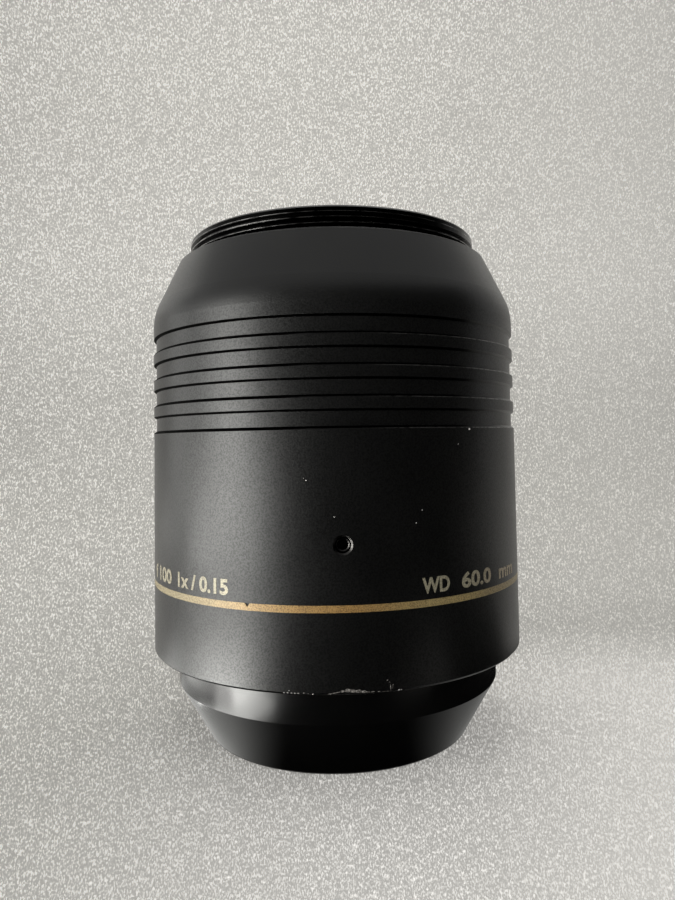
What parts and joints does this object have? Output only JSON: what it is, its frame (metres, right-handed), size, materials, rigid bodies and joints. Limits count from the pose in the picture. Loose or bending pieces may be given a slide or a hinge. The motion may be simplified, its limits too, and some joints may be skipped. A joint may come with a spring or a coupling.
{
  "type": "microscope objective",
  "caption": "Large black microscope objective with a tapered nose, a ring-light seat, a gold band, grip grooves, a threaded mount and glass lens groups in a turned barrel.",
  "frame": {"origin": "centre of the front rim of the nose, on which the part stands", "axes": "+Z along the optical axis from the nose to the mount thread, -Y through the visible set screw"},
  "size_m": [0.07, 0.07, 0.0931],
  "materials": {
    "black_paint": "matte black with a very fine texture",
    "gold_paint": "gold paint fill, slightly speckled",
    "black_anodised": "black anodised, satin",
    "crown_glass": "polished and coated",
    "flint_glass": "polished and coated",
    "blackened_steel": "black oxide"
  },
  "bodies": {
    "root": {"outer_sleeve": "black_paint", "gold_band": "gold_paint", "lens_barrel": "black_anodised", "nose_ring": "black_anodised", "front_retaining_ring": "black_anodised", "front_crown": "crown_glass", "front_flint": "flint_glass", "field_lens": "crown_glass", "field_retaining_ring": "black_anodised", "centring_cell": "black_anodised", "centring_crown": "crown_glass", "centring_flint": "flint_glass", "cell_retaining_ring": "black_anodised", "cell_clamp_ring": "black_anodised", "middle_lens": "crown_glass", "middle_spacer": "black_anodised", "middle_retaining_ring": "black_anodised", "rear_flint": "flint_glass", "rear_crown": "crown_glass", "rear_retaining_ring": "black_anodised", "set_screws": "blackened_steel"}
  },
  "joints": []
}
